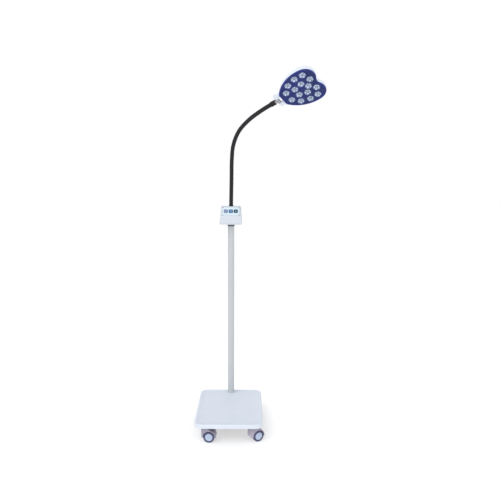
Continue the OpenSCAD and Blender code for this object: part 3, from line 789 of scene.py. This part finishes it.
BOX_FRONT = 0.058
BOX_BACK = 0.032
BOX_RIDGE = 0.013
PANEL_FOOT = 0.038
BOX_HALF_LOW = 0.0535
BOX_HALF_HIGH = 0.0465
BOX_EDGE = 0.0055
SEAM_UP = 0.0075
SEAM_HALF = 0.00045
SEAM_DEPTH = 0.0006
LID_SIZE = (0.084, 0.054)
LID_CORNER = 0.005
LID_EDGE = 0.0003
LID_GAP = 0.0005
LID_TOP = 0.0012
POCKET_CORNER = 0.0052
OPENING_SIZE = (0.068, 0.038)
OPENING_CORNER = 0.003
OPENING_DEPTH = 0.022
CUT_CLEAR = 0.01
FILM_SIZE = (0.076, 0.046)
FILM_CORNER = 0.004
FILM_EDGE = 0.00012
FILM_T = 0.0005
KEYS = (("minus", -0.023), ("power", 0.0), ("plus", 0.023))
KEY_SIZE = (0.019, 0.021)
KEY_CORNER = 0.005
KEY_GAP = 0.0003
KEY_PROUD = 0.0014
KEY_BOTTOM = -0.005
KEY_TOP = LID_TOP + FILM_T + KEY_PROUD
KEY_DISH = 0.0005
SIGN_SUNK = 0.0002
SIGN_PROUD = 0.00015
SIGN_EDGE = 0.00005
SCREW_INSET = 0.004
SCREW_R = 0.0028
SCREW_HEIGHT = 0.0011
SCREW_SUNK = 0.0014
SCREW_SEAT_R = 0.003
FILM_NOTCH_R = 0.0032


def panel_place():
    """The frame of the sloped panel's outer face: X across, Y up the slope, Z outwards."""
    low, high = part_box("panel_overlay")
    out = -joint_axis("power_press")
    centre = (low + high) / 2 - out * (LID_TOP + FILM_T / 2)
    x = Vector((1, 0, 0))
    return axes_at(centre, x, out.cross(x), out)


def screw_head(r, height, place):
    """A pan head with a cross recess."""
    profile = [(0, 0), (r - 0.0002, 0), (r, 0.0002)] + quarter(r, height, height * 0.55, 5)
    profile += [(r * 0.3, height * 1.06), (0, height * 1.08)]
    head = turned("head", profile, place, 32)
    arm = rounded_rectangle(r * 1.15, r * 0.26, r * 0.08, 3)
    for turn in (0, 90):
        at = place @ Matrix.Rotation(math.radians(turn), 4, "Z")
        combined(head, plate("cross", [arm], height * 0.35, height * 2, FINE_CUT, at))
    return head


def key_piece(name, place):
    """A push key with a pillowed top and a soft edge."""
    edge = 0.0012

    def ring(inset, z):
        return inset_ring(KEY_SIZE, KEY_CORNER, edge, 8, inset, z)

    rings = [ring(0, KEY_BOTTOM)]
    rings += [
        ring(edge - x, KEY_TOP - edge + z - 0.0001)
        for x, z in arc_points((0, 0), edge, 0, 80, 5)
    ]
    rings += [ring(0.0016, KEY_TOP - 0.00005), ring(0.0026, KEY_TOP - 0.00035)]
    rings += [ring(0.004, KEY_TOP - KEY_DISH)]
    return lofted(name, rings, place)


def ring_sector(r, half_width, start, end, steps=40):
    """Outline of an arc-shaped stroke."""
    outer = arc_points((0, 0), r + half_width, start, end, steps)
    inner = arc_points((0, 0), r - half_width, end, start, steps)
    return outer + inner


def legend_outlines(kind):
    """Generic signs: a bar, a cross, and an open ring with a bar."""
    half = 0.00085
    if kind == "minus":
        return [rounded_rectangle(0.0074, 2 * half, half * 0.5, 3)]
    if kind == "plus":
        reach = 0.0037
        quarter_turn = [(reach, -half), (reach, half), (half, half)]
        turns = ((1, 0), (0, 1), (-1, 0), (0, -1))
        return [[(c * x - s * y, s * x + c * y) for c, s in turns for x, y in quarter_turn]]
    upright = [(x, y + 0.0026) for x, y in rounded_rectangle(2 * half, 0.0042, half * 0.5, 3)]
    return [ring_sector(0.0033, half, 125, 415), upright]


def box_shell():
    """The box with its sloped front, the lid's pocket and opening, and the seam near its foot."""
    low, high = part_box("box_body")
    pole_low, pole_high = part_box("pole_tube")
    axis_y = (pole_low.y + pole_high.y) / 2
    front, back, ridge = axis_y - BOX_FRONT, axis_y + BOX_BACK, axis_y - BOX_RIDGE

    def half(z):
        return BOX_HALF_LOW + (BOX_HALF_HIGH - BOX_HALF_LOW) * (z - low.z) / (high.z - low.z)

    side = [(front, low.z), (back, low.z), (back, high.z), (ridge, high.z)]
    side.append((front, low.z + PANEL_FOOT))
    verts = [(s * half(z), y, z) for s in (-1, 1) for y, z in side]
    n = len(side)
    faces = [tuple(range(n)), tuple(reversed(range(n, 2 * n)))]
    faces += [(i, (i + 1) % n, n + (i + 1) % n, n + i) for i in range(n)]
    body = rounded_edges(made_object("control_box", verts, faces), BOX_EDGE, 6)

    panel = panel_place()
    pocket = rounded_rectangle(LID_SIZE[0] + LID_GAP, LID_SIZE[1] + LID_GAP, POCKET_CORNER)
    combined(body, plate("pocket", [pocket], -LID_TOP, CUT_CLEAR, SHARP_CUT, panel))
    opening = rounded_rectangle(*OPENING_SIZE, OPENING_CORNER)
    combined(body, plate("opening", [opening], -OPENING_DEPTH, CUT_CLEAR, SHARP_CUT, panel))

    seam_z = low.z + SEAM_UP
    wide, ahead, behind = 0.06, front - CUT_CLEAR, back + CUT_CLEAR
    outer = [(-wide, ahead), (wide, ahead), (wide, behind), (-wide, behind)]
    inner_w, inner_d = 2 * (half(seam_z) - SEAM_DEPTH), back - front - 2 * SEAM_DEPTH
    inner = [
        (x, y + (front + back) / 2)
        for x, y in rounded_rectangle(inner_w, inner_d, BOX_EDGE - SEAM_DEPTH, 8)
    ]
    seam = plate("seam", [outer, inner], seam_z - SEAM_HALF, seam_z + SEAM_HALF, SHARP_CUT)
    return combined(body, seam)


def make_control_box(paint):
    """The box, then the lid, film, screws and keys in the panel's own frame."""
    placed(shaded(box_shell(), paint["box"], 25), "base", "box", "box_body")

    panel = panel_place()
    hole_w, hole_d = KEY_SIZE[0] + 2 * KEY_GAP, KEY_SIZE[1] + 2 * KEY_GAP
    hole = rounded_rectangle(hole_w, hole_d, KEY_CORNER + KEY_GAP, 8)
    holes = [[(x + px, py) for px, py in hole] for _, x in KEYS]
    screw_x, screw_y = LID_SIZE[0] / 2 - SCREW_INSET, LID_SIZE[1] / 2 - SCREW_INSET
    screw_spots = [(i * screw_x, j * screw_y) for i in (-1, 1) for j in (-1, 1)]
    seats = [circle_points(spot, SCREW_SEAT_R, 32) for spot in screw_spots]
    edge = rounded_rectangle(*LID_SIZE, LID_CORNER)
    lid = plate("panel_lid", [edge] + holes + seats, -LID_TOP, LID_TOP, LID_EDGE, panel)
    placed(shaded(lid, paint["lid"]), "base", "panel", "box_lid")
    edge = rounded_rectangle(*FILM_SIZE, FILM_CORNER)
    film = plate("panel_film", [edge] + holes, LID_TOP, LID_TOP + FILM_T, FILM_EDGE, panel)
    for spot in screw_spots:
        notch = circle_points(spot, FILM_NOTCH_R, 32)
        combined(film, plate("notch", [notch], 0, 0.004, FINE_CUT, panel))
    placed(shaded(film, paint["film"]), "base", "panel", "panel_overlay")
    heads = [
        screw_head(SCREW_R, SCREW_HEIGHT, panel @ Matrix.Translation((x, y, LID_TOP - SCREW_SUNK)))
        for x, y in screw_spots
    ]
    placed(shaded(joined("panel_screws", *heads), paint["steel"]), "base", "fastener", "lid_screws")

    face = KEY_TOP - KEY_DISH
    for kind, x in KEYS:
        spot = panel @ Matrix.Translation((x, 0, 0))
        key = key_piece(f"{kind}_key", spot)
        placed(shaded(key, paint[kind]), f"{kind}_key", f"{kind}_button", f"{kind}_button")
        strokes = [
            plate("stroke", [outline], face - SIGN_SUNK, face + SIGN_PROUD, SIGN_EDGE, spot)
            for outline in legend_outlines(kind)
        ]
        sign = joined(f"{kind}_sign", *strokes)
        placed(shaded(sign, paint["legend"]), f"{kind}_key", f"{kind}_button")


# ---- gooseneck

NECK_R = 0.0096
NECK_JOINTS = 7
RIDGE_PITCH = 0.0042
RIDGE_DEPTH = 0.0011
RIDGE_RINGS = 6
FOOT_TOP = 0.004
FERRULE_R = 0.0115
FERRULE_GRIP = 0.0006


def hermite(p0, p1, m0, m1, t):
    """A point on the smooth curve from p0 to p1, with m0 and m1 as its speeds there."""
    t2, t3 = t * t, t * t * t
    start = (2 * t3 - 3 * t2 + 1) * p0 + (t3 - 2 * t2 + t) * m0
    return start + (3 * t2 - 2 * t3) * p1 + (t3 - t2) * m1


def neck_line():
    """The neck's foot, joints and end, with the direction of its centre line at each."""
    pole_low, pole_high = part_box("pole_tube")
    pole = (pole_low + pole_high) / 2
    foot = Vector((pole.x, pole.y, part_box("box_body")[1].z + FOOT_TOP))
    bends = [joint_at(f"neck_bend_{i}") for i in range(1, NECK_JOINTS + 1)]
    knots = [foot] + bends + [joint_at("head_swivel")]
    tangents = [(knots[1] - knots[0]).normalized()]
    tangents += [(knots[i + 1] - knots[i - 1]).normalized() for i in range(1, len(knots) - 1)]
    tangents += [joint_axis("head_swivel")]
    return knots, tangents


def neck_tube(name, centres):
    """A ribbed tube along closely spaced centre points."""
    steps = 40
    rings = []
    normal = Vector((0, 1, 0))
    for i, p in enumerate(centres):
        ahead = centres[min(i + 1, len(centres) - 1)]
        behind = centres[max(i - 1, 0)]
        tangent = (ahead - behind).normalized()
        normal = (normal - tangent * normal.dot(tangent)).normalized()
        side = tangent.cross(normal)
        phase = (i % RIDGE_RINGS) / RIDGE_RINGS
        r = NECK_R - RIDGE_DEPTH * (0.5 + 0.5 * math.cos(2 * math.pi * phase)) ** 3
        rings.append([
            p + (normal * math.cos(a) + side * math.sin(a)) * r
            for a in (2 * math.pi * k / steps for k in range(steps))
        ])
    return lofted(name, rings)


def make_neck(paint):
    """One sleeve across each joint, from the middle of one stretch to the middle of the next."""
    knots, tangents = neck_line()
    spans = []
    for i in range(len(knots) - 1):
        length = (knots[i + 1] - knots[i]).length
        count = max(2, round(length / RIDGE_PITCH / 2) * 2) * RIDGE_RINGS
        m0, m1 = tangents[i] * length, tangents[i + 1] * length
        spans.append([hermite(knots[i], knots[i + 1], m0, m1, k / count) for k in range(count + 1)])

    for i in range(1, NECK_JOINTS + 1):
        before, after = spans[i - 1], spans[i]
        if i > 1:
            before = before[len(before) // 2:]
        if i < NECK_JOINTS:
            after = after[:len(after) // 2 + 1]
        sleeve = neck_tube(f"neck_hose_{i}", before[:-1] + after)
        shaded(sleeve, paint["neck"], 50)
        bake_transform(sleeve)
        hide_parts(f"neck_link_{i}")

    r, grip = FERRULE_R, FERRULE_GRIP
    profile = [(0, -0.012), (r - 0.0012, -0.012), (r, -0.0108)]
    for k in range(4):
        z = -0.007 + k * 0.003
        profile += [(r, z), (r - grip, z + 0.0005), (r - grip, z + 0.0011), (r, z + 0.0016)]
    profile += [(r, 0.0128), (r - 0.001, 0.014), (0.0052, 0.014), (0, 0.0135)]
    ferrule = turned("neck_ferrule", profile, along(knots[-1], tangents[-1]))
    placed(shaded(ferrule, paint["neck"], 25), "neck_7", "gooseneck", "neck_link_7")

    profile = [(0, -0.010), (0.008, -0.010), (0.008, 0), (0.0105, 0), (0.011, 0.0005)]
    profile += [(0.011, FOOT_TOP - 0.0006), (0.0104, FOOT_TOP), (0, FOOT_TOP)]
    ring = turned("neck_foot", profile, Matrix.Translation(knots[0] - Vector((0, 0, FOOT_TOP))))
    placed(shaded(ring, paint["neck"], 25), "base", "gooseneck", "neck_socket")


# ---- hinge and lamp head

BARREL_R = 0.008
BARREL_HALF = 0.013
EAR_IN = 0.0134
EAR_OUT = 0.033
HEAD_GAP = 0.022
HEAD_L = 0.186
LOBE_R = 0.050
LOBE_Y = 0.042
SIDE_R = 0.150
SIDE_LEAN = 0.14
NOTCH_R = 0.030
TIP_R = 0.009
TIP_BOW = 0.0002
HEAD_MID = HEAD_GAP + 0.105
FACE_Z = -0.012
FACE_T = 0.003
FACE_INSET = 0.0003
FACE_EDGE = 0.0009
FACE_GAP = 0.0001
SHELL_Z = FACE_Z + FACE_T
SHELL_WALL_TOP = 0.005
CROWN_Z = 0.0255
DOME_POWER = 2.35
SHELL_T = 0.003
CROWN_STOP = math.radians(88.5)
LENS_R = 0.01525
LENS_GAP = 0.0002
LIP_INSETS = (0.0012, 0.0034)
LIP_HALF = 0.0008
LIP_EDGE = 0.0007
# Millimetres from the head's blunt tip, and to one side; the posts likewise.
SIDE_LENSES = ((33, 22.5), (61, 52), (101, 65), (139, 63), (154, 27), (74, 17.5), (110, 27))
MIDDLE_LENS = 130
POSTS = ((52, 0), (88, 41), (88, -41), (132, 41), (132, -41))
POST_SEAT_Z = 0.019
POST_SEAT_R = 0.0032
POST_SCREW_HEIGHT = 0.002
POST_SCREW_Z = 0.0191


def head_place():
    """The lamp head's frame: X away from the neck, Y along the tilt axis, Z to the back."""
    x = joint_axis("head_swivel")
    y = joint_axis("head_tilt")
    return axes_at(joint_at("head_tilt"), x, y, x.cross(y))


def heart_outline():
    """The heart's outline, from its blunt tip round one side and lobe to the hollow, and back."""
    lobe_x = HEAD_L - LOBE_R
    reach = SIDE_R - LOBE_R
    side = (lobe_x - reach * SIDE_LEAN, LOBE_Y - reach * math.sqrt(1 - SIDE_LEAN * SIDE_LEAN))
    tip_y = side[1] + math.sqrt((SIDE_R - TIP_R) ** 2 - (side[0] - TIP_R) ** 2)
    notch_x = lobe_x + math.sqrt((LOBE_R + NOTCH_R) ** 2 - LOBE_Y ** 2)

    def angle(a, b):
        return math.degrees(math.atan2(b[1] - a[1], b[0] - a[0]))

    start = angle(side, (TIP_R, tip_y))
    end = angle(side, (lobe_x, LOBE_Y))
    notch = angle((lobe_x, LOBE_Y), (notch_x, 0))
    steps = 8
    half = [(-TIP_BOW * (1 - (k / steps) ** 2), tip_y * k / steps) for k in range(steps)]
    half += arc_points((TIP_R, tip_y), TIP_R, 180, start, steps)
    half += arc_points(side, SIDE_R, start, end, 24)[1:]
    half += arc_points((lobe_x, LOBE_Y), LOBE_R, end, notch, 34)[1:]
    half += arc_points((notch_x, 0), NOTCH_R, notch + 180, 180, steps)[1:]
    points = [(x + HEAD_GAP, y) for x, y in half]
    return points + [(x, -y) for x, y in reversed(points[1:-1])]


def offset_outline(points, inset):
    """The outline moved inwards along its own normals."""
    out = []
    n = len(points)
    for i in range(n):
        before, after = Vector(points[i - 1]), Vector(points[(i + 1) % n])
        along_edge = (after - before).normalized()
        normal = Vector((along_edge.y, -along_edge.x))
        out.append(tuple(Vector(points[i]) + normal * inset))
    return out


def lens_spots():
    pairs = [(x, s * y) for x, y in SIDE_LENSES for s in (-1, 1)]
    return [(HEAD_GAP + x * MM, y * MM) for x, y in pairs + [(MIDDLE_LENS, 0)]]


def shell_rings(outline, thin, steps=18):
    """Rings of the shell's skin, from its open edge over the dome to near the crown.

    thin is the wall left off, so zero gives the outside.
    """
    mean_r = sum(math.hypot(x - HEAD_MID, y) for x, y in outline) / len(outline)
    base = offset_outline(outline, thin) if thin else outline
    crown = CROWN_Z - thin
    shoulder = SHELL_WALL_TOP - thin
    rings = [[Vector((x, y, z)) for x, y in base] for z in (SHELL_Z, SHELL_Z * 0.4, shoulder * 0.5)]
    for j in range(steps + 1):
        t = j / steps * CROWN_STOP
        k = math.cos(t) ** (2 / DOME_POWER)
        z = shoulder + (crown - shoulder) * math.sin(t) ** (2 / DOME_POWER)
        fade = (1 - k) ** 1.5
        ring = []
        for x, y in base:
            dx, dy = x - HEAD_MID, y
            r = math.hypot(dx, dy)
            soft = (r * (1 - fade) + mean_r * fade) / r * k
            ring.append(Vector((HEAD_MID + dx * soft, dy * soft, z)))
        rings.append(ring)
    return rings


def hollow_shell(place):
    """The outside and inside skins, each closed at its crown, joined along the open edge."""
    outline = heart_outline()
    outside = shell_rings(outline, 0)
    rings = outside + shell_rings(outline, SHELL_T)[::-1]
    n, m = len(outline), len(outside)
    faces = []
    for j in range(2 * m - 1):
        if j != m - 1:
            faces += band(j, j + 1, n)
    faces += [tuple(range(j * n, (j + 1) * n)) for j in (m - 1, m)]
    faces += band(2 * m - 1, 0, n)
    return made_object("shell", [p for ring in rings for p in ring], faces, place)


def shell_ear(side, place):
    """Half of the hinge's barrel, with the arm that ties it to the shell."""
    length = EAR_OUT - EAR_IN
    profile = [(0, 0), (BARREL_R - 0.0006, 0), (BARREL_R, 0.0006)]
    profile += quarter(BARREL_R, length, 0.0014)
    profile += [(0.0052, length), (0.0048, length - 0.0006), (0, length - 0.0006)]
    at = place @ along(Vector((0, side * EAR_IN, 0)), Vector((0, side, 0)))
    ear = turned("ear", profile, at, 48)
    middle = side * (EAR_IN + EAR_OUT) / 2
    corners = [
        (x, middle + s * length / 2 * 0.98, z)
        for x, h in ((0, 0.0062), (HEAD_GAP + 0.003, 0.0075))
        for s, z in ((-1, -h), (1, -h), (1, h), (-1, h))
    ]
    arm = made_object("arm", corners, [(3, 2, 1, 0), (4, 5, 6, 7)] + band(0, 1, 4), place)
    return combined(ear, rounded_edges(arm, 0.0018, 3), "UNION")


def make_shell(place, paint):
    """The head's white back with its five screws and both ears."""
    shell = hollow_shell(place)
    spots = [(HEAD_GAP + x * MM, y * MM) for x, y in POSTS]
    seat = [(0, POST_SEAT_Z), (POST_SEAT_R, POST_SEAT_Z), (POST_SEAT_R, 0.03), (0, 0.03)]
    for x, y in spots:
        combined(shell, turned("seat", seat, place @ Matrix.Translation((x, y, 0)), 32))
    for side in (-1, 1):
        combined(shell, shell_ear(side, place), "UNION")
    placed(shaded(shell, paint["shell"], 30), "head", "head_shell", "head_shell")

    heads = [
        screw_head(SCREW_R, POST_SCREW_HEIGHT, place @ Matrix.Translation((x, y, POST_SCREW_Z)))
        for x, y in spots
    ]
    screws = joined("shell_screws", *heads)
    placed(shaded(screws, paint["steel"]), "head", "fastener", "head_screws")


def make_face(place, paint):
    """The navy front plate with a hole for each lens, and the bright lip along its edge."""
    outline = heart_outline()
    holes = [circle_points(p, LENS_R + LENS_GAP, 64) for p in lens_spots()]
    edge = offset_outline(outline, FACE_INSET)
    face = plate("lamp_face", [edge] + holes, FACE_Z, SHELL_Z - FACE_GAP, FACE_EDGE, place)
    lip_edges = [offset_outline(outline, inset) for inset in LIP_INSETS]
    lip = plate("lip", lip_edges, FACE_Z - LIP_HALF, FACE_Z + LIP_HALF, LIP_EDGE, place)
    placed(shaded(face, paint["face"], 30), "head", "led_face", "led_face")
    placed(shaded(lip, paint["face_rim"], 30), "head", "led_face", "led_face")


PILLOWS = 5
PILLOW_R = 0.005
PILLOW_RING_R = 0.0094
PILLOW_TILT = math.radians(24)
PILLOW_HEIGHT = 0.0021
PILLOW_Z = -0.0022
RIM_WALL = 0.0009
RIM_DEPTH = 0.0028
DISH_IN = 0.0046
DISH_OUT = 0.0124
DISH_DEPTH = 0.0054
CHIP_R = 0.0034
CHIP_HEIGHT = 0.0042
CHIP_Z = -0.0060


def dome_points(r, height, z=0.0):
    """A dome's profile from its edge up to its top."""
    angles = [math.radians(a) for a in range(0, 91, 15)]
    return [(r * math.cos(t), z + height * math.sin(t)) for t in angles]


def make_lenses(place, paint):
    """Each lens is a dark dish with a ring of clear pillows, a domed light source and a bezel; the
    dish's dark blue-teal also paints the shade deep in each lens and round its edge.
    """
    outwards = place @ Matrix.Translation((0, 0, FACE_Z)) @ Matrix.Rotation(math.pi, 4, "X")
    wall, foot = LENS_R - RIM_WALL, -RIM_DEPTH
    rim = [(LENS_R, foot), (LENS_R, 0.0002), (LENS_R - 0.0002, 0.0006)]
    rim += [(LENS_R - 0.0006, 0.0007), (wall, 0.0003), (wall, foot), (LENS_R, foot)]
    slope = [k / 10 for k in range(1, 11)]
    dish = [(0, -0.0064), (0.003, -0.0062), (DISH_IN, -DISH_DEPTH)]
    dish += [(DISH_IN + (DISH_OUT - DISH_IN) * k, DISH_DEPTH * (k ** 1.35 - 1)) for k in slope]
    dish += [(LENS_R - 0.001, 0.0001), (wall, -0.0009), (0.0110, -0.0040)]
    dish += [(0.005, -0.009), (0, -0.009)]
    chip = [(0, -0.0064), (CHIP_R, -0.0063)] + dome_points(CHIP_R, CHIP_HEIGHT, CHIP_Z)
    pillow = [(0, -0.0015), (PILLOW_R, -0.0015)] + dome_points(PILLOW_R, PILLOW_HEIGHT)
    pillow_seat = Matrix.Translation((PILLOW_RING_R, 0, PILLOW_Z))
    pillow_seat @= Matrix.Rotation(-PILLOW_TILT, 4, "Y")

    dishes, pillows, rims, chips = [], [], [], []
    for number, (x, y) in enumerate(lens_spots()):
        at = outwards @ Matrix.Translation((x, -y, 0))
        rims.append(turned("rim", rim, at))
        dishes.append(turned("dish", dish, at))
        chips.append(turned("chip", chip, at, 32))
        for k in range(PILLOWS):
            turn = Matrix.Rotation(2 * math.pi * k / PILLOWS + number, 4, "Z")
            pillows.append(turned("pillow", pillow, at @ turn @ pillow_seat, 24))
    pieces = (
        ("lens_dishes", dishes, "dish"), ("lens_pillows", pillows, "lens"),
        ("lens_bezels", rims, "rim"), ("lens_centres", chips, "chip"),
    )
    for name, parts, look in pieces:
        placed(shaded(joined(name, *parts), paint[look], 40), "head", "lens", "led_lenses")


def make_yoke(paint):
    """The post that turns in the neck's end, the barrel across it, and the hinge pin's two caps."""
    end = joint_at("head_swivel")
    tilt = joint_at("head_tilt")
    x = joint_axis("head_swivel")
    y = joint_axis("head_tilt")
    top = (tilt - end).length - 0.004
    post = [(0, -0.003), (0.005, -0.003), (0.005, 0.0145), (0.0092, 0.0145), (0.01, 0.0152)]
    post += [(0.01, 0.0168), (0.0093, 0.0175), (0.0078, 0.0182), (0.0068, 0.0198)]
    post += [(0.0065, top), (0, top)]
    yoke = turned("yoke", post, along(end, x, y), 56)
    edge = 0.0008
    r, waist = BARREL_R, BARREL_R - 0.0005
    half = [(0, BARREL_HALF), (r - edge, BARREL_HALF), (r, BARREL_HALF - edge)]
    half += [(r, 0.0045), (waist, 0.004)]
    barrel = [(radius, -z) for radius, z in half] + half[::-1]
    combined(yoke, turned("barrel", barrel, along(tilt, y, x), 56), "UNION")
    placed(shaded(yoke, paint["hinge"], 28), "yoke", "hinge", "swivel_yoke")

    pin_r, cap_r, cap_top = 0.0048, 0.005, 0.0014
    profile = [(0, -0.004), (0.003, -0.004), (0.003, -0.0004), (pin_r - 0.0002, -0.0004)]
    profile += [(cap_r - 0.0002, 0)] + quarter(cap_r, cap_top, 0.0008)
    profile += [(0.0022, cap_top), (0.0018, 0.0009), (0, 0.0009)]
    caps = [
        turned("cap", profile, along(tilt + y * side * EAR_OUT, y * side, x), 40)
        for side in (-1, 1)
    ]
    pin = joined("hinge_pin_caps", *caps)
    placed(shaded(pin, paint["cap"], 25), "head", "fastener", "hinge_pin")


# ---- CAD nodes that keep their shape

KEPT = {
    "ballast_plate": "ballast", "base_screws": "steel", "pole_plug": "steel", "pole_bolt": "steel",
    "control_board": "board", "cable_gland": "gland", "led_board": "led_board", "heat_sink": "sink",
}


def dress_cad_nodes(paint):
    """Gives the CAD nodes that no piece stands for a material."""
    kept = dict(KEPT)
    for corner in CORNERS:
        kept[f"castor_{corner}_stem"] = "steel"
        kept[f"castor_{corner}_axle"] = "steel"
    for node, look in kept.items():
        mesh = frame["nodes"][node].data
        mesh.materials.clear()
        mesh.materials.append(paint[look])


def make_floor(paint):
    reach = 14
    corners = [(x * reach, y * reach, 0) for x, y in ((-1, -1), (1, -1), (1, 1), (-1, 1))]
    floor = made_object("floor", corners, [(0, 1, 2, 3)])
    floor.data.materials.append(paint["floor"])


make_camera()
make_light()
paint = make_materials()
make_floor(paint)
make_base(paint)
make_castors(paint)
make_control_box(paint)
make_neck(paint)
head = head_place()
make_shell(head, paint)
make_face(head, paint)
make_lenses(head, paint)
make_yoke(paint)
dress_cad_nodes(paint)
